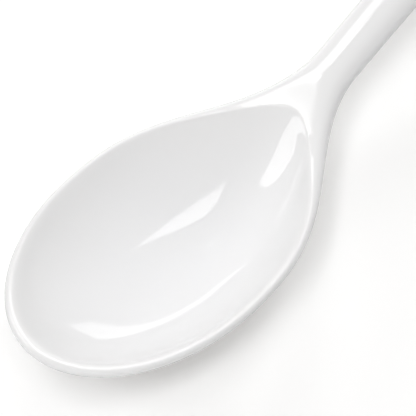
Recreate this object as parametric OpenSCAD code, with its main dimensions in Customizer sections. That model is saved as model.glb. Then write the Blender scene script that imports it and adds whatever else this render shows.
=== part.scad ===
// Porcelain serving spoon: an oval bowl and a handle, pressed apart and luted together at the neck

/* [Bowl] */
// Width of the bowl over its rim
bowl_width = 60; // [50:0.5:74]
// Length from the widest section to the tip
tip_length = 47; // [38:0.5:60]
// Depth from the edge of the rim to the underside, before the foot is ground
bowl_depth = 17.5; // [14:0.25:22]
// Fullness of the underside, where 0.5 is an ellipse and 1 a parabola
underside_power = 0.77; // [0.6:0.01:0.95]
// Thickness of the floor above the foot
floor_thickness = 3; // [2.2:0.1:4]
// Fullness of the hollow, on the same scale as the underside
hollow_power = 0.78; // [0.65:0.01:0.95]
// Depth ground off the underside for the flat foot
foot_depth = 0.8; // [0.4:0.05:1.4]
// Fall of the rim towards the handle, in degrees
rim_fall = 7; // [2:0.5:10]

/* [Lip] */
// Height of the rounded lip above the edge of the rim
lip_height = 1.4; // [1:0.05:2]
// Distance from the edge of the rim to the crest of the lip
lip_inset = 1; // [0.8:0.05:1.5]
// Turn from the lip into the hollow, as a share of the hollow
lip_turn_share = 0.12; // [0.08:0.01:0.2]
// Growth of the crest's level at the neck, where the lip broadens into a saddle
saddle_growth = 2.1; // [1.6:0.05:2.4]
// Turn from the saddle into the hollow, as a share of the hollow
saddle_turn_share = 0.035; // [0.03:0.005:0.1]

/* [Neck] */
// Length from the widest section of the bowl to the narrowest of the neck
neck_length = 72; // [62:0.5:84]
// Width of the neck where it is narrowest
neck_width = 12.4; // [10:0.1:15]
// Fullness of the shoulders that run from the bowl into the neck
shoulder_power = 1.27; // [1.1:0.01:1.45]
// Rise of the handle from the neck, in degrees
handle_rise = 7.5; // [4:0.5:11]
// Height of the handle's back above its sides, at the neck
neck_crown = 3.5; // [2.5:0.1:4.5]
// Depth of the handle's underside below its sides, at the neck
neck_belly = 3.6; // [2.5:0.1:4.5]

/* [Handle] */
// Length of the handle beyond the narrowest section of the neck
handle_length = 118; // [100:1:136]
// Length of the straight rise before the arch
rise_length = 28; // [20:0.5:36]
// Length of the arch that turns the handle down to the table
arch_length = 50; // [36:0.5:60]
// Width of the handle near its end
end_width = 16; // [13:0.1:19]
// Length of the rounded end
end_round = 9; // [7:0.1:12]
// Height of the handle's back above its sides, near the end
end_crown = 3.2; // [2.4:0.1:4.2]
// Depth of the handle's underside below its sides, near the end
end_belly = 3.6; // [2.6:0.1:4.4]

/* [Places along the neck] */
// Seam between bowl and handle, as a share of the neck's length
seam_share = 0.83; // [0.8:0.01:0.9]
// Middle of the bend from rim to handle, as a share of the neck's length
root_middle_share = 0.715; // [0.68:0.005:0.76]
// Length of that bend, as a share of the neck's length
root_span_share = 0.33; // [0.26:0.01:0.4]
// Start and end of the change from lip to handle back, as shares of the neck's length
crown_shares = [0.42, 0.92];
// Start and end of the change from bowl to handle underside, as shares of the neck's length
belly_shares = [0.35, 0.9];
// Start and end of the change from lip to saddle, as shares of the neck's length
saddle_shares = [0.35, 0.68];

/* [Smoothness] */
// Steps round a quarter of the tip
tip_steps = 22; // [12:1:26]
// Steps along each shoulder
shoulder_steps = 24; // [14:1:28]
// Steps across the handle
section_steps = 14; // [8:1:16]
// Rings from the rim to the middle of the hollow
hollow_rings = 22; // [14:1:24]
// Rings from the rim to the middle of the underside
underside_rings = 13; // [8:1:16]
// Steps along the handle, up to its rounded end
handle_steps = 44; // [24:1:52]
// Steps along the rounded end
end_steps = 9; // [6:1:12]
// Steps in the search for the lowest place of the underside
foot_search_steps = 200; // [100:50:400]

/* [Hidden] */

porcelain = "#f4f3f0";
// Turns after which the slope that brings the handle's end down to the table has settled
drop_turns = 12;
bowl_half = bowl_width / 2;
neck_half = neck_width / 2;
end_half = end_width / 2;
fall_slope = tan(rim_fall);
rise_slope = tan(handle_rise);
// Stations are lengths from the widest section, positive towards the handle
seam = seam_share * neck_length;
root_start = (root_middle_share - root_span_share / 2) * neck_length;
root_span = root_span_share * neck_length;
arch_start = neck_length + rise_length;
handle_end = neck_length + handle_length;
round_start = handle_end - end_round;
// Levels are squares of the half width less squares of the place across, in square millimetres
middle_level = bowl_half * bowl_half;
hollow_depth = bowl_depth + lip_height - foot_depth - floor_thickness;
// A handle section takes its round back from a crest that lies past its middle
back_share = 1.25;
back_height_share = sqrt(1 - pow(1 - 1 / pow(back_share, 2), 2));

// Smooth steps and bends
function ease(t) = t <= 0 ? 0 : t >= 1 ? 1 : t * t * (3 - 2 * t);
function between(s, from, to) = ease((s - from) / (to - from));
function mix(a, b, t) = a + (b - a) * t;
function bend(s, start, span) =
    let (t = max(0, min(1, (s - start) / span)))
    span * (pow(t, 3) - pow(t, 4) / 2) + max(0, s - start - span);

// Plan outline: half an ellipse at the tip, full shoulders, then the handle with its rounded end
function handle_share(s) = between(s, neck_length, round_start);
function handle_half(s) = mix(neck_half, end_half, handle_share(s));
function shoulder_half(s) =
    let (t = pow(min(1, s / neck_length), shoulder_power))
    (bowl_half - neck_half) * pow(cos(90 * t), 2);
function end_taper(s) = sqrt(max(0, 1 - pow(max(0, s - round_start) / end_round, 2)));
function half_width(s) =
    s < 0
    ? bowl_half * sqrt(max(0, 1 - pow(s / tip_length, 2)))
    : (handle_half(s) + shoulder_half(s)) * end_taper(s);
function level(s, y) = max(0, pow(half_width(s), 2) - y * y);

// Depth of the underside below the edge: bowl and handle, and the change from one to the other
function bowl_belly(lv) = bowl_depth * pow(min(1, lv / middle_level), underside_power);
function handle_belly(s, lv) = mix(neck_belly, end_belly, handle_share(s)) * sqrt(lv) / handle_half(s);
function belly(s, lv) =
    mix(bowl_belly(lv), handle_belly(s, lv),
        between(s, belly_shares[0] * neck_length, belly_shares[1] * neck_length));

// The foot lies where the tilted underside is lowest, and the spoon's origin is at its middle
foot_reach = belly_shares[0] * neck_length;
foot_search = [for (i = [0:foot_search_steps]) foot_reach * i / foot_search_steps];
foot_sag = [for (s = foot_search) fall_slope * s + bowl_belly(level(s, 0))];
foot_place = foot_search[search(max(foot_sag), foot_sag)[0]];
rim_height = max(foot_sag) - foot_depth;

// Side view of the edge: the tilted rim, the bend at the root, the straight rise and the arch
function rising_edge(s) =
    rim_height - fall_slope * s + (rise_slope + fall_slope) * bend(s, root_start, root_span);
function next_drop(drop) =
    let (end_height = norm([drop * end_round, end_belly]))
    (rising_edge(round_start) - end_height) / bend(round_start, arch_start, arch_length) - rise_slope;
function settled_drop(drop, turns) = turns == 0 ? drop : settled_drop(next_drop(drop), turns - 1);
drop_slope = settled_drop(0, drop_turns);
function edge(s) = rising_edge(s) - (rise_slope + drop_slope) * bend(s, arch_start, arch_length);

// Level of the crest, where the lip is highest and the hollow starts
function saddle_share(s) = between(s, saddle_shares[0] * neck_length, saddle_shares[1] * neck_length);
function crest_level(s) = bowl_width * lip_inset * mix(1, saddle_growth, saddle_share(s));

// Height of the lip and of the handle's back above the edge
function crown_share(s) = between(s, crown_shares[0] * neck_length, crown_shares[1] * neck_length);
function back_level(s) = mix(crest_level(s), pow(back_share * handle_half(s), 2), crown_share(s));
function back_height(s) =
    mix(lip_height, mix(neck_crown, end_crown, handle_share(s)) / back_height_share, crown_share(s));
function crown(s, lv) =
    let (t = min(1, lv / back_level(s)))
    back_height(s) * sqrt(1 - pow(1 - t, 2));

// Depth of the hollow below the crest of the lip
function turned(t, turn) = (norm([t, turn]) - turn) * pow(t + turn, hollow_power - 1);
function hollow(s, lv) =
    let (
        turn = mix(lip_turn_share, saddle_turn_share, saddle_share(s)),
        t = max(0, (lv - crest_level(s)) / (middle_level - crest_level(s)))
    )
    hollow_depth * turned(t, turn) / turned(1, turn);

// Points on the two skins of the spoon
function top_height(s, lv) = edge(s) + crown(s, lv) - hollow(s, lv);
function top_point(s, y) = [s - foot_place, y, top_height(s, level(s, y))];
function under_point(s, y) = [s - foot_place, y, edge(s) - belly(s, level(s, y))];

// Faces between two rings of points, seen from outside with the first ring on the outer side
function numbers(first, count) = [for (i = [0:count - 1]) first + i];
function band(a, b) = [
    for (i = [0:len(a) - 1])
        let (k = (i + 1) % len(a))
        each [[a[i], b[i], b[k]], [a[i], b[k], a[k]]]
];
function cap(ring, middle) = [for (i = [0:len(ring) - 1]) [ring[i], middle, ring[(i + 1) % len(ring)]]];
function reversed(list) = [for (i = [len(list) - 1:-1:0]) list[i]];

// Outline of the bowl: round the tip, along one shoulder, across the seam and back
function across(s) = [for (i = [0:section_steps]) [s, -half_width(s) * cos(180 * i / section_steps)]];
bowl_flank = concat(
    [for (i = [0:tip_steps - 1]) let (s = -tip_length * cos(90 * i / tip_steps)) [s, -half_width(s)]],
    [for (i = [0:shoulder_steps - 1]) let (s = seam * i / shoulder_steps) [s, -half_width(s)]]
);
seam_chord = across(seam);
outline = concat(
    bowl_flank,
    seam_chord,
    [for (i = [len(bowl_flank) - 1:-1:1]) [bowl_flank[i][0], -bowl_flank[i][1]]]
);

module bowl() {
    count = len(outline);
    seam_first = len(bowl_flank);
    inner_chord = [for (i = [1:section_steps - 1]) seam_chord[i]];
    // Rings lie closest together at the lip
    top_sizes = [for (i = [0:hollow_rings - 1]) 1 - pow(i / hollow_rings, 2)];
    under_sizes = [for (i = [1:underside_rings - 1]) 1 - pow(i / underside_rings, 2)];
    points = concat(
        [for (size = top_sizes) for (p = outline) top_point(mix(foot_place, p[0], size), p[1] * size)],
        [top_point(foot_place, 0)],
        [for (p = inner_chord) under_point(p[0], p[1])],
        [for (size = under_sizes) for (p = outline) under_point(mix(foot_place, p[0], size), p[1] * size)],
        [under_point(foot_place, 0)]
    );
    top_middle = count * hollow_rings;
    chord_first = top_middle + 1;
    under_first = chord_first + len(inner_chord);
    under_middle = under_first + count * len(under_sizes);
    top_rings = [for (i = [0:hollow_rings - 1]) numbers(i * count, count)];
    chord_numbers = numbers(chord_first, len(inner_chord));
    under_edge = concat(
        numbers(0, seam_first + 1),
        chord_numbers,
        numbers(seam_first + section_steps, count - seam_first - section_steps)
    );
    under_rings = concat(
        [under_edge],
        [for (i = [0:len(under_sizes) - 1]) numbers(under_first + i * count, count)]
    );
    faces = concat(
        [for (i = [0:hollow_rings - 2]) each band(top_rings[i], top_rings[i + 1])],
        cap(top_rings[hollow_rings - 1], top_middle),
        [for (i = [0:len(under_rings) - 2]) each band(under_rings[i + 1], under_rings[i])],
        cap(reversed(under_rings[len(under_rings) - 1]), under_middle),
        [concat(numbers(seam_first, section_steps + 1), reversed(chord_numbers))]
    );
    color(porcelain)
        difference() {
            polyhedron(points, faces);
            // The foot is ground flat on the plane of the table
            translate([-tip_length, -bowl_half, -bowl_depth])
                cube([tip_length + seam, bowl_width, bowl_depth]);
        }
}

module handle() {
    stations = concat(
        [for (i = [0:handle_steps - 1]) mix(seam, round_start, i / handle_steps)],
        [for (i = [0:end_steps - 1]) round_start + end_round * sin(90 * i / end_steps)]
    );
    count = 2 * section_steps;
    points = concat(
        [
            for (s = stations)
                let (chord = across(s))
                each concat(
                    [for (p = chord) top_point(p[0], p[1])],
                    [for (i = [section_steps - 1:-1:1]) under_point(chord[i][0], chord[i][1])]
                )
        ],
        [top_point(handle_end, 0)]
    );
    rings = [for (i = [0:len(stations) - 1]) numbers(i * count, count)];
    faces = concat(
        [reversed(rings[0])],
        [for (i = [0:len(rings) - 2]) each band(rings[i + 1], rings[i])],
        cap(reversed(rings[len(rings) - 1]), count * len(stations))
    );
    color(porcelain)
        polyhedron(points, faces);
}

bowl();
handle();
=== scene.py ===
import math
import bpy
import numpy as np
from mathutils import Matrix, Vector


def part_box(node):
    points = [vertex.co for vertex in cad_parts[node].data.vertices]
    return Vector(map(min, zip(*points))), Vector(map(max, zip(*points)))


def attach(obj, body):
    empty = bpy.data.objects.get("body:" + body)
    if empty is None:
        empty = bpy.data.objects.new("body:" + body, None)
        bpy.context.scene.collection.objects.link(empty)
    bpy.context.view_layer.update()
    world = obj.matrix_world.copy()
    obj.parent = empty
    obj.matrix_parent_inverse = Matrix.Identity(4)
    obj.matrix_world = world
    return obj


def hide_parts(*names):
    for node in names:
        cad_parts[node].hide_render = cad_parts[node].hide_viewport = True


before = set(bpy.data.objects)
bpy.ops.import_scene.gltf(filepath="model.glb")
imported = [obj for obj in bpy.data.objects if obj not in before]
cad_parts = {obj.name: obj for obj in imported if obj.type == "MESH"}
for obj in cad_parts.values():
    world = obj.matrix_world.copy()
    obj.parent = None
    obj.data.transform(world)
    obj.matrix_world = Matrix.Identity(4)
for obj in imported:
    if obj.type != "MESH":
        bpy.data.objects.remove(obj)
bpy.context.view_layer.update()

bowlLow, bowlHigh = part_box("bowl")
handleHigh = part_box("handle")[1]
mm = 0.001

# sizes in millimetres, those of the solids but for a fuller hollow and a slightly wider lip
spoon = {
    "bowlWidth": (bowlHigh.y - bowlLow.y) / mm,
    "tipLength": 47,  # from the widest section to the tip
    "bowlDepth": 17.5,
    "underPower": 0.77,  # fullness of the underside, 0.5 is an ellipse and 1 a parabola
    "floorThickness": 3,
    "hollowPower": 0.62,
    "footDepth": 0.8,
    "footEdge": 0.12,  # how softly the ground foot turns into the glazed underside
    "wipedHeight": 0.01,  # what lies lower is wiped clean of glaze
    "rimFall": 7,  # degrees towards the handle
    "lipHeight": 1.4,
    "lipGap": 0.01,  # the lip stays this far below the solid's
    "lipInset": 1.1,
    "lipTurn": 0.12,  # turn from lip to hollow, as a share of the hollow
    "lipLand": 0.06,  # flat top of the lip, as a share of its inset
    "lipPower": 2.05,  # 2 would be a quarter ellipse
    "saddleGrowth": 1.9,  # at the neck the lip broadens into a saddle and turns in more sharply
    "saddleTurn": 0.035,
    "neckLength": 72,
    "neckWidth": 12.4,
    "shoulderPower": 1.27,
    "handleRise": 7.5,  # degrees up from the neck
    "neckCrown": 3.5,
    "neckBelly": 3.6,
    "riseLength": 28,
    "archLength": 50,
    "endWidth": 16,
    "endRound": 9,
    "endCrown": 3.2,
    "endBelly": 3.6,
    "backShare": 1.25,
    "rootMiddle": 0.715,  # the rest are shares of the neck's length
    "rootSpan": 0.33,
    "crownFrom": 0.42,
    "crownTo": 0.92,
    "bellyFrom": 0.35,
    "bellyTo": 0.9,
    "saddleFrom": 0.35,
    "saddleTo": 0.68,
    "poolReach": 1.5,  # how far along the glaze can pool, as a share of the way to the seam
}
neck = spoon["neckLength"]
bowlHalf = spoon["bowlWidth"] / 2
neckHalf = spoon["neckWidth"] / 2
endHalf = spoon["endWidth"] / 2
fallSlope = math.tan(math.radians(spoon["rimFall"]))
riseSlope = math.tan(math.radians(spoon["handleRise"]))

# stations are lengths from the widest section, positive towards the handle
footPlace = -bowlLow.x / mm - spoon["tipLength"]
seam = bowlHigh.x / mm + footPlace
handleEnd = handleHigh.x / mm + footPlace
roundStart = handleEnd - spoon["endRound"]
rootStart = (spoon["rootMiddle"] - spoon["rootSpan"] / 2) * neck
rootLength = spoon["rootSpan"] * neck
archStart = neck + spoon["riseLength"]
# levels are squares of the half width less squares of the place across
middleLevel = bowlHalf ** 2
hollowDepth = spoon["bowlDepth"] + spoon["lipHeight"] - spoon["footDepth"] - spoon["floorThickness"]
backHeight = math.sqrt(1 - (1 - spoon["backShare"] ** -2) ** 2)


def ease(t):
    # 3 t squared less 2 t cubed, held at 0 and at 1 outside the step
    t = np.clip(t, 0, 1)
    return t * t * (3 - 2 * t)


def between(s, start, end):
    # 0 before start, 1 after end and an eased step between them
    return ease((s - start) / (end - start))


def mix(a, b, t):
    # straight from a to b as t goes from 0 to 1
    return a + (b - a) * t


def bend(s, start, length):
    # rise of a line whose slope eases from 0 to 1 over the length: t cubed less half of t to the fourth
    t = np.clip((s - start) / length, 0, 1)
    return length * (t ** 3 - t ** 4 / 2) + np.maximum(s - start - length, 0)


def handleShare(s):
    # 0 at the neck and 1 where the handle's end starts to round
    return between(s, neck, roundStart)


def handleHalf(s):
    # half width of the handle, growing from neck to end
    return mix(neckHalf, endHalf, handleShare(s))


def halfWidth(s):
    # half an ellipse at the tip, squared cosine shoulders, the handle, and a quarter ellipse at its end
    tip = bowlHalf * np.sqrt(np.clip(1 - (np.minimum(s, 0) / spoon["tipLength"]) ** 2, 0, 1))
    turn = math.pi / 2 * np.clip(s / neck, 0, 1) ** spoon["shoulderPower"]
    taper = np.sqrt(np.clip(1 - (np.maximum(s - roundStart, 0) / spoon["endRound"]) ** 2, 0, 1))
    return np.where(s < 0, tip, (handleHalf(s) + (bowlHalf - neckHalf) * np.cos(turn) ** 2) * taper)


def belly(s, lv):
    # depth of the underside below the edge: a power of the level, turning into half an ellipse at the handle
    deep = spoon["bowlDepth"] * np.clip(lv / middleLevel, 0, 1) ** spoon["underPower"]
    shallow = mix(spoon["neckBelly"], spoon["endBelly"], handleShare(s)) * np.sqrt(lv) / handleHalf(s)
    return mix(deep, shallow, between(s, spoon["bellyFrom"] * neck, spoon["bellyTo"] * neck))


def saddleShare(s):
    # 0 round the bowl and 1 at the neck, where the lip has broadened into the saddle
    return between(s, spoon["saddleFrom"] * neck, spoon["saddleTo"] * neck)


def crestLevel(s):
    # level at which the lip is highest and the hollow starts
    return spoon["bowlWidth"] * spoon["lipInset"] * mix(1, spoon["saddleGrowth"], saddleShare(s))


def crown(s, lv):
    # height of the lip and of the handle's back above the edge: nearly a quarter ellipse of the level
    share = between(s, spoon["crownFrom"] * neck, spoon["crownTo"] * neck)
    width = mix(crestLevel(s), (spoon["backShare"] * handleHalf(s)) ** 2, share)
    back = mix(spoon["neckCrown"], spoon["endCrown"], handleShare(s)) / backHeight
    t = np.minimum(lv / width, 1)
    power = mix(spoon["lipPower"], 2, share)
    highest = mix(spoon["lipHeight"] - spoon["lipGap"], back, share)
    return highest * np.sqrt(np.clip(1 - (1 - t) ** power, 0, 1))


def hollowShare(s, lv):
    # depth of the hollow as a share of its deepest: a power of the level with a round turn at the lip
    start = crestLevel(s) * (1 + spoon["lipLand"] * (1 - saddleShare(s)))
    turn = mix(spoon["lipTurn"], spoon["saddleTurn"], saddleShare(s))

    def turned(t):
        return (np.hypot(t, turn) - turn) * (t + turn) ** (spoon["hollowPower"] - 1)
    return turned(np.maximum((lv - start) / (middleLevel - start), 0)) / turned(1)


def risingEdge(s):
    # side view of the edge: the falling rim, the bend at the root and the straight rise
    return rimHeight - fallSlope * s + (riseSlope + fallSlope) * bend(s, rootStart, rootLength)


# the foot is where the tilted underside is lowest, ground off by the foot's depth
search = np.linspace(0, spoon["bellyFrom"] * neck, 2001)
rimHeight = (fallSlope * search + belly(search, halfWidth(search) ** 2)).max() - spoon["footDepth"]
# the arch drops the handle until the underside of its rounded end meets the table
archRun = bend(roundStart, archStart, spoon["archLength"])
dropSlope = 0
for attempt in range(12):
    endHeight = math.hypot(dropSlope * spoon["endRound"], spoon["endBelly"])
    dropSlope = (risingEdge(roundStart) - endHeight) / archRun - riseSlope


def edge(s):
    # the rising edge less the arch that turns the handle down to the table
    return risingEdge(s) - (riseSlope + dropSlope) * bend(s, archStart, spoon["archLength"])


def skin(s, angle):
    # a section of the spoon: angle 0 to pi goes over the top from +Y to -Y, pi to 2 pi goes back underneath
    half = halfWidth(s)
    lv = (half * np.sin(angle)) ** 2
    top = edge(s) + crown(s, lv) - hollowDepth * hollowShare(s, lv)
    under = edge(s) - belly(s, lv)
    soft = spoon["footEdge"]
    ground = np.where(under > soft, under, np.where(under < -soft, 0, (under + soft) ** 2 / (4 * soft)))
    z = np.where(angle <= math.pi, top, ground)
    return np.stack([s - footPlace, half * np.cos(angle), z], -1) * mm


def outward(station, t, angle):
    # cross product of the skin's two slopes, each taken over a small step either way
    step = 1e-4
    along = skin(station(t + step), angle) - skin(station(t - step), angle)
    around = skin(station(t), angle + step) - skin(station(t), angle - step)
    normals = np.cross(around, along)
    size = np.linalg.norm(normals, axis=-1, keepdims=True)
    normals = normals / np.where(size > 0, size, 1)
    # the skin is upright at its edges, so the normal there is square to the outline
    s = station(t)
    slope = (halfWidth(s + step) - halfWidth(s - step)) / (2 * step)
    side = np.sign(np.cos(angle))
    flat = np.stack([-slope, side, np.zeros_like(side)], -1)
    flat = flat / np.linalg.norm(flat, axis=-1, keepdims=True)
    return np.where((np.abs(np.sin(angle)) < 1e-6)[..., None], flat, normals)


def loft(name, station, steps, across, startsClosed):
    # rings of the skin at stations from t = 0 to 1, with a pole at one end and a flat seam at the other
    t = np.linspace(0, 1, steps + 1)[1:] if startsClosed else np.linspace(0, 1, steps + 1)[:-1]
    around = 2 * across
    angles = np.linspace(0, 2 * math.pi, around + 1)[:-1]
    tGrid, angleGrid = np.meshgrid(t, angles, indexing="ij")
    points = skin(station(tGrid), angleGrid).reshape(-1, 3)
    normals = outward(station, tGrid, angleGrid).reshape(-1, 3)
    poleAt = 0.0 if startsClosed else 1.0
    pole = skin(station(np.array([poleAt])), np.array([0.0]))
    points = np.concatenate([points, pole])
    normals = np.concatenate([normals, [[-1.0 if startsClosed else 1.0, 0, 0]]])
    poleIndex = len(points) - 1
    rings = len(t)
    ring = np.arange(rings - 1)[:, None] * around
    here = np.arange(around)[None]
    after = (here + 1) % around
    quads = np.stack([ring + here, ring + after, ring + around + after, ring + around + here], -1)
    quads = quads.reshape(-1, 4)
    first = 0 if startsClosed else (rings - 1) * around
    seamRing = (rings - 1) * around if startsClosed else 0
    fan = np.stack([first + here[0], np.full(around, poleIndex), first + after[0]], -1)
    if not startsClosed:
        fan = fan[:, ::-1]
    # the seam is closed by strips between the top and the underside
    left = np.arange(across)
    strip = np.stack([left, left + 1, (around - left - 1) % around, (around - left) % around], -1)
    strip = strip + seamRing
    if not startsClosed:
        strip = strip[:, ::-1]
    faces = quads.tolist() + fan.tolist() + strip.tolist()
    mesh = bpy.data.meshes.new(name)
    mesh.from_pydata(points.tolist(), [], faces)
    mesh.validate()
    corner = np.zeros(len(mesh.loops), np.int32)
    mesh.loops.foreach_get("vertex_index", corner)
    cornerNormals = normals[corner]
    cornerNormals[-4 * across:] = [1.0 if startsClosed else -1.0, 0, 0]
    mesh.shade_smooth()
    mesh.normals_split_custom_set(cornerNormals.tolist())
    lv = ((halfWidth(station(tGrid)) * np.sin(angleGrid)) ** 2).ravel()
    s = station(tGrid).ravel()
    over = (angleGrid.ravel() <= math.pi) & (s < seam * spoon["poolReach"])
    addValue(mesh, "pooled", np.append(np.where(over, hollowShare(s, lv), 0), 0))
    addValue(mesh, "bare", (points[:, 2] < spoon["wipedHeight"] * mm) & (points[:, 0] < bowlHigh.x))
    piece = bpy.data.objects.new(name, mesh)
    bpy.context.scene.collection.objects.link(piece)
    return piece


def addValue(mesh, name, values):
    # one number for each point of the mesh, for the material to read
    attribute = mesh.attributes.new(name, "FLOAT", "POINT")
    attribute.data.foreach_set("value", values.astype(np.float32))


bowlGrid = {"steps": 240, "across": 170}


def bowlStation(t):
    # half of the steps go round the tip by a cosine, the other half run evenly to the seam
    return np.where(t < 0.5, -spoon["tipLength"] * np.cos(math.pi * t), seam * (2 * t - 1))


handleGrid = {"steps": 220, "across": 80, "evenShare": 0.8}


def handleStation(t):
    # even steps along the handle, then a sine into the rounded end
    even = handleGrid["evenShare"]
    quarter = math.pi / 2 * np.clip((t - even) / (1 - even), 0, 1)
    rounded = handleEnd - spoon["endRound"] * (1 - np.sin(quarter))
    return np.where(t < even, mix(seam, roundStart, t / even), rounded)


bowl = loft("bowl_shell", bowlStation, bowlGrid["steps"], bowlGrid["across"], startsClosed=True)
print("bowl:", len(bowl.data.polygons), "faces")
handle = loft("handle_grip", handleStation, handleGrid["steps"], handleGrid["across"], startsClosed=False)
print("handle:", len(handle.data.polygons), "faces")


class Value:
    # a socket of a shader tree that sums and products can be written with
    def __init__(self, tree, socket):
        self.tree = tree
        self.socket = socket

    def math(self, operation, *others):
        return self.tree.node("ShaderNodeMath", {"operation": operation}, [self, *others])

    def __add__(self, other):
        return self.math("ADD", other)

    def __radd__(self, other):
        return self.math("ADD", other)

    def __sub__(self, other):
        return self.math("SUBTRACT", other)

    def __rsub__(self, other):
        return self.tree.node("ShaderNodeMath", {"operation": "SUBTRACT"}, [other, self])

    def __mul__(self, other):
        return self.math("MULTIPLY", other)

    def __rmul__(self, other):
        return self.math("MULTIPLY", other)


class Tree:
    # the nodes of one material or world
    def __init__(self, owner):
        owner.use_nodes = True
        self.nodes = owner.node_tree.nodes
        self.links = owner.node_tree.links
        self.nodes.clear()

    def node(self, kind, settings=None, inputs=(), output=0):
        made = self.nodes.new(kind)
        for name, value in (settings or {}).items():
            setattr(made, name, value)
        pairs = inputs.items() if isinstance(inputs, dict) else enumerate(inputs)
        for place, value in pairs:
            if isinstance(value, Value):
                self.links.new(value.socket, made.inputs[place])
            else:
                made.inputs[place].default_value = value
        return Value(self, made.outputs[output]) if made.outputs else made


def softStep(value, start, end):
    # 0 below start and 1 above end
    limits = {"Value": value, "From Min": start, "From Max": end}
    return value.tree.node("ShaderNodeMapRange", {"interpolation_type": "SMOOTHSTEP"}, limits)


glaze = {
    "body": (0.904, 0.899, 0.896, 1),  # white porcelain under a thin glaze
    "pool": (0.888, 0.889, 0.901, 1),  # where the glaze has run together it is a little cooler
    "biscuit": (0.86, 0.845, 0.815, 1),  # the wiped foot
    "poolStrength": 0.6,
    "cloudSize": 45,  # clouds a metre, where the glaze ran unevenly
    "cloudRoughness": 0.55,
    "cloudStrength": 0.5,
    "bareFrom": 0.3,
    "bareTo": 0.7,
    "roughness": 0.02,
    "roughnessSpread": 0.02,
    "biscuitRoughness": 0.62,
    "biscuitGrain": 2500,  # grains a metre
    "ripple": 0.00001,  # height of the slow waves in the glaze, in metres
    "rippleSize": 70,  # waves a metre
    "glassIndex": 1.5,
}


def makePorcelain():
    material = bpy.data.materials.new("glazedPorcelain")
    tree = Tree(material)
    place = tree.node("ShaderNodeTexCoord", output="Object")
    pooled = tree.node("ShaderNodeAttribute", {"attribute_name": "pooled"}, output="Fac")
    wiped = tree.node("ShaderNodeAttribute", {"attribute_name": "bare"}, output="Fac")
    bare = softStep(wiped, glaze["bareFrom"], glaze["bareTo"])
    clouds = tree.node("ShaderNodeTexNoise", inputs={
        "Vector": place, "Scale": glaze["cloudSize"], "Detail": 3, "Roughness": glaze["cloudRoughness"]})
    waves = tree.node("ShaderNodeTexNoise", inputs={
        "Vector": place, "Scale": glaze["rippleSize"], "Detail": 1})
    grain = tree.node("ShaderNodeTexNoise", inputs={
        "Vector": place, "Scale": glaze["biscuitGrain"], "Detail": 2})
    # more glaze in the hollow, with slow clouds where it ran unevenly
    depth = pooled * glaze["poolStrength"] + (clouds - 0.5) * glaze["cloudStrength"]
    glazed = tree.node("ShaderNodeMix", {"data_type": "RGBA"}, {
        "Factor": depth, 6: glaze["body"], 7: glaze["pool"]}, output=2)
    colour = tree.node("ShaderNodeMix", {"data_type": "RGBA"}, {
        "Factor": bare, 6: glazed, 7: glaze["biscuit"]}, output=2)
    # rough where the foot is bare, nearly mirror smooth where it is glazed
    smooth = glaze["roughness"] + clouds * glaze["roughnessSpread"]
    rough = smooth * (1 - bare) + bare * glaze["biscuitRoughness"]
    height = waves * (1 - bare) + grain * bare
    bump = tree.node("ShaderNodeBump", inputs={
        "Strength": 1, "Distance": glaze["ripple"], "Height": height})
    shader = tree.node("ShaderNodeBsdfPrincipled", inputs={
        "Base Color": colour, "Roughness": rough, "Normal": bump, "IOR": glaze["glassIndex"]})
    tree.node("ShaderNodeOutputMaterial", inputs={"Surface": shader})
    return material


porcelain = makePorcelain()
for piece, node in ((bowl, "bowl"), (handle, "handle")):
    piece.data.materials.append(porcelain)
    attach(piece, "root")
    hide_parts(node)
print("porcelain: glazed, with a bare foot")


# the camera looks down on the bowl from beside its tip
camera = {
    "target": (0.00369, -0.00154, 0.015),
    "elevation": 54.93,
    "turn": 52.43,  # degrees from the camera's right to the handle
    "distance": 0.6469,
    "lens": 227.13,
}
turn = math.radians(camera["turn"])
rightward = Vector((math.cos(turn), -math.sin(turn), 0))  # across the picture
away = Vector((math.sin(turn), math.cos(turn), 0))  # level, away from the camera
upward = Vector((0, 0, 1))


def makeCamera():
    data = bpy.data.cameras.new("camera")
    data.lens = camera["lens"]
    holder = bpy.data.objects.new("camera", data)
    bpy.context.scene.collection.objects.link(holder)
    tilt = math.radians(camera["elevation"])
    back = upward * math.sin(tilt) - away * math.cos(tilt)
    holder.location = Vector(camera["target"]) + back * camera["distance"]
    holder.rotation_euler = back.to_track_quat("Z", "Y").to_euler()
    bpy.context.scene.camera = holder


makeCamera()

# lamps round the spoon light it but are hidden from gloss
# their places are metres to the camera's right, away from it and up
lampSize = 0.22
lamps = {
    "front_left": {"at": (-0.20, -0.35, 0.63), "power": 1.36},
    "front": {"at": (0, -0.28, 0.70), "power": 0.72},
    "low_front": {"at": (0, -0.65, 0.37), "power": 0.42},
    "left": {"at": (-0.24, -0.14, 0.70), "power": 0.54},
    "right": {"at": (0.24, -0.14, 0.70), "power": 0.43},
    "back": {"at": (0, 0.685, 0.305), "power": 1.16},
    "back_left": {"at": (-0.59, 0.34, 0.305), "power": 0.78},
    "back_right": {"at": (0.34, 0.59, 0.305), "power": 1.24},
}


def makeLamp(name, lamp):
    data = bpy.data.lights.new(name, "AREA")
    data.shape = "DISK"
    data.size = lampSize
    data.energy = lamp["power"]
    holder = bpy.data.objects.new(name, data)
    bpy.context.scene.collection.objects.link(holder)
    r, a, u = lamp["at"]
    holder.location = rightward * r + away * a + upward * u
    holder.rotation_euler = holder.location.to_track_quat("Z", "Y").to_euler()
    holder.visible_glossy = False


for name, lamp in lamps.items():
    makeLamp(name, lamp)

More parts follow.
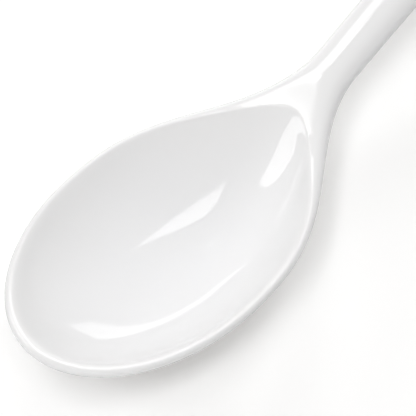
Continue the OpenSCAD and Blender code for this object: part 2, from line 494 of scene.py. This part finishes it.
# cards that only gloss sees: rows of corners across each card, placed like the lamps,
# and how much of the card's glow each row has
cards = {
    "centre": {"glow": 4.5, "edges": [0.3, 1, 1], "rows": [
        [(-0.002, 0.026, 0.15), (0.014, 0.026, 0.15), (0.042, 0.047, 0.15), (0.067, 0.076, 0.15)],
        [(-0.006, 0.036, 0.15), (0.010, 0.037, 0.15), (0.041, 0.055, 0.15), (0.067, 0.0775, 0.15)],
        [(-0.010, 0.050, 0.15), (0.001, 0.060, 0.15), (0.037, 0.072, 0.15), (0.066, 0.079, 0.15)]]},
    "left": {"glow": 4.3, "edges": [1, 1, 1], "rows": [
        [(-0.149, 0.119, 0.3), (-0.160, 0.088, 0.3), (-0.190, 0.020, 0.3), (-0.214, 0.000, 0.3)],
        [(-0.203, 0.170, 0.3), (-0.235, 0.125, 0.3), (-0.235, 0.060, 0.3), (-0.262, 0.020, 0.3)],
        [(-0.300, 0.218, 0.3), (-0.480, 0.260, 0.3), (-0.470, 0.175, 0.3), (-0.330, 0.055, 0.3)]]},
    "saddle": {"glow": 6.6, "edges": [0.4, 0.6, 1, 1], "rows": [
        [(-0.110, 0.262, 0.6), (-0.066, 0.262, 0.6)],
        [(-0.110, 0.291, 0.6), (-0.044, 0.291, 0.6)],
        [(-0.110, 0.351, 0.6), (-0.001, 0.351, 0.6)],
        [(-0.110, 0.372, 0.6), (-0.003, 0.372, 0.6)]]},
    "grip": {"glow": 5, "edges": [1, 1], "rows": [
        [(-0.150, 0.372, 0.6), (0, 0.380, 0.6)],
        [(-0.150, 0.530, 0.6), (0, 0.530, 0.6)]]},
    "rim": {"glow": 7.5, "edges": [1, 1, 1, 1], "rows": [
        [(0.03, 1.12, 1.5), (0.09, 1.08, 1.5)],
        [(0.07, 1.28, 1.5), (0.20, 1.23, 1.5)],
        [(0.13, 1.46, 1.5), (0.34, 1.43, 1.5)],
        [(0.13, 1.70, 1.5), (0.35, 1.67, 1.5)]]},
    "low": {"glow": 2.5, "edges": [1, 1], "rows": [
        [(-0.51, 1, 0), (-0.466, 1, 0), (-0.384, 1, 0), (-0.325, 1, 0), (-0.21, 1, 0),
         (-0.12, 1, 0), (-0.05, 1, 0), (0.053, 1, 0.017), (0.182, 1, 0.082), (0.259, 1, 0.129),
         (0.358, 1, 0.152), (0.455, 1, 0.170)],
        [(-0.51, 1, 0.24), (-0.466, 1, 0.27), (-0.384, 1, 0.287), (-0.325, 1, 0.286), (-0.21, 1, 0.262),
         (-0.12, 1, 0.248), (-0.05, 1, 0.25), (0.071, 1, 0.272), (0.182, 1, 0.3), (0.245, 1, 0.32),
         (0.358, 1, 0.34), (0.465, 1, 0.180)]]},
    "side": {"glow": 2.3, "edges": [1, 1], "rows": [
        [(-0.75, 0.50, 0.15), (-0.75, 0.565, 0.215), (-0.75, 0.85, 0.30)],
        [(-0.75, 0.50, 0.20), (-0.75, 0.565, 0.265), (-0.75, 0.85, 0.35)]]},
    # as bright as the surroundings, this one keeps the saddle, grip and rim cards out of the hollow
    "flag": {"glow": 1, "edges": [1, 1, 1, 1], "rows": [
        [(-0.007, 0.013, 0.032), (-0.0005, 0.013, 0.032)],
        [(-0.007, 0.0178, 0.032), (-0.0005, 0.0178, 0.032)],
        [(-0.007, 0.0179, 0.032), (0.003, 0.0179, 0.032)],
        [(-0.007, 0.0238, 0.032), (0.003, 0.0238, 0.032)]]},
}


def makeCard(name, card):
    points = [rightward * r + away * a + upward * u for row in card["rows"] for r, a, u in row]
    count = len(card["rows"][0])
    faces = [(i, i + 1, i + count + 1, i + count)
             for k in range(len(card["rows"]) - 1) for i in range(k * count, (k + 1) * count - 1)]
    mesh = bpy.data.meshes.new(name)
    mesh.from_pydata(points, [], faces)
    addValue(mesh, "edge", np.repeat(card["edges"], count))
    holder = bpy.data.objects.new(name, mesh)
    bpy.context.scene.collection.objects.link(holder)
    material = bpy.data.materials.new(name)
    tree = Tree(material)
    edge = softStep(tree.node("ShaderNodeAttribute", {"attribute_name": "edge"}, output="Fac"), 0, 1)
    # only the first reflection sees the glow, later ones see the plain surroundings
    path = tree.nodes.new("ShaderNodeLightPath")
    first = Value(tree, path.outputs["Ray Depth"]).math("LESS_THAN", 1.5)
    lift = tree.node("ShaderNodeEmission", inputs={"Strength": edge * first * (card["glow"] - 1) + 1})
    tree.node("ShaderNodeOutputMaterial", inputs={"Surface": lift})
    mesh.materials.append(material)
    holder.visible_camera = False
    holder.visible_diffuse = False
    holder.visible_shadow = False


for name, card in cards.items():
    makeCard(name, card)

studio = {
    "ambient": 0.198,
    "floorSize": 6,
    "floorColour": (0.797, 0.802, 0.807, 1),
    "floorLift": 0.277,  # light added to what the camera sees of the floor, so that it ends white
    "liftColour": (1, 0.966, 0.925, 1),
}


def seenDirectly(tree):
    # 1 for rays from the camera, from gloss and through glass
    path = tree.nodes.new("ShaderNodeLightPath")
    fromCamera = Value(tree, path.outputs["Is Camera Ray"])
    fromGloss = Value(tree, path.outputs["Is Glossy Ray"])
    throughGlass = Value(tree, path.outputs["Is Transmission Ray"])
    return (fromCamera + fromGloss + throughGlass).math("MINIMUM", 1)


def makeStudio():
    world = bpy.data.worlds.new("studio")
    bpy.context.scene.world = world
    tree = Tree(world)
    seen = seenDirectly(tree)
    strength = seen * (1 - studio["ambient"]) + studio["ambient"]
    sky = tree.node("ShaderNodeBackground", inputs={"Color": (1, 1, 1, 1), "Strength": strength})
    tree.node("ShaderNodeOutputWorld", inputs={"Surface": sky})
    half = studio["floorSize"] / 2
    corners = [(-half, -half, 0), (half, -half, 0), (half, half, 0), (-half, half, 0)]
    mesh = bpy.data.meshes.new("floor")
    mesh.from_pydata(corners, [], [(0, 1, 2, 3)])
    floor = bpy.data.objects.new("floor", mesh)
    bpy.context.scene.collection.objects.link(floor)
    material = bpy.data.materials.new("paleFloor")
    tree = Tree(material)
    matt = tree.node("ShaderNodeBsdfDiffuse", inputs={"Color": studio["floorColour"]})
    lift = tree.node("ShaderNodeEmission", inputs={
        "Color": studio["liftColour"], "Strength": seenDirectly(tree) * studio["floorLift"]})
    both = tree.node("ShaderNodeAddShader", inputs=[matt, lift])
    tree.node("ShaderNodeOutputMaterial", inputs={"Surface": both})
    mesh.materials.append(material)


makeStudio()
bpy.context.scene.view_settings.view_transform = "Standard"
print("studio: floor,", len(lamps), "lamps,", len(cards), "cards and a pale surround")
